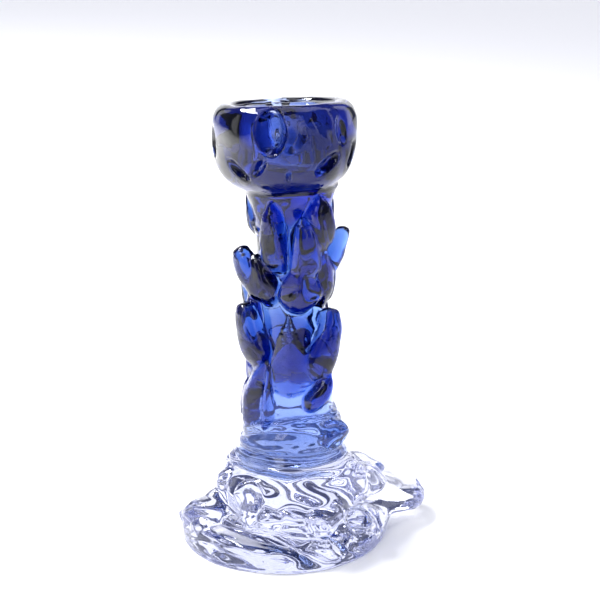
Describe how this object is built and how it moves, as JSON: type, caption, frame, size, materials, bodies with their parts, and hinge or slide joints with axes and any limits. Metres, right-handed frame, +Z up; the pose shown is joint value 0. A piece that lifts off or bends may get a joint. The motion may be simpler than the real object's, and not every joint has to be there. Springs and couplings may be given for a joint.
{
  "type": "candlestick",
  "caption": "Hand-worked glass candlestick: a thick blue cup with a candle well on a stem covered in pulled leaves and fingers, set in a lumpy clear foot.",
  "frame": {"origin": "on the stem's axis, in the plane the foot rests on", "axes": "+Z up along the stem to the cup's mouth; -Y is the front, where the deep arched press in the cup and the pyramid-shaped leaf on the stem are; +X is the side where the foot's tongue reaches out"},
  "size_m": [0.1135, 0.0887, 0.2008],
  "materials": {
    "cobalt_glass": "fire-polished, deep cobalt blue, transparent",
    "pale_blue_glass": "fire-polished, paler cobalt blue, transparent",
    "clear_glass": "fire-polished, clear and colourless with a faint blue cast"
  },
  "bodies": {
    "root": {"collar": "cobalt_glass", "cup": "cobalt_glass", "finger_back_high": "cobalt_glass", "finger_back_left": "cobalt_glass", "finger_back_right": "cobalt_glass", "finger_left_high": "cobalt_glass", "finger_left_low": "cobalt_glass", "finger_right_high": "cobalt_glass", "finger_right_low": "cobalt_glass", "finger_right_small": "cobalt_glass", "flame_back": "cobalt_glass", "flame_front": "cobalt_glass", "foot_drip_front_left": "clear_glass", "foot_drop_front": "clear_glass", "foot_drop_front_right": "clear_glass", "foot_drop_right": "clear_glass", "foot_knob_left": "clear_glass", "foot_lobe_back": "clear_glass", "foot_lobe_back_left": "clear_glass", "foot_lobe_back_right": "clear_glass", "foot_lobe_left": "clear_glass", "foot_mound": "clear_glass", "foot_puddle": "clear_glass", "foot_tongue_right": "clear_glass", "hem_knot": "pale_blue_glass", "leaf_base_left": "cobalt_glass", "leaf_left_low": "cobalt_glass", "leaf_left_mid": "cobalt_glass", "leaf_low_back_left": "cobalt_glass", "leaf_low_back_right": "cobalt_glass", "leaf_mid_back": "cobalt_glass", "leaf_mid_back_right": "cobalt_glass", "leaf_mid_front": "cobalt_glass", "leaf_mid_left": "cobalt_glass", "leaf_mid_right": "cobalt_glass", "leaf_upper_back": "cobalt_glass", "leaf_upper_back_left": "cobalt_glass", "leaf_upper_back_right": "cobalt_glass", "leaf_upper_centre": "cobalt_glass", "leaf_upper_left": "cobalt_glass", "leaf_upper_right": "cobalt_glass", "ridge_base_left": "cobalt_glass", "shoulder_left": "cobalt_glass", "stem_barrel": "cobalt_glass", "stem_core": "cobalt_glass", "stem_hem": "pale_blue_glass", "stem_skirt": "pale_blue_glass", "thorn_base_right": "cobalt_glass"}
  },
  "joints": []
}
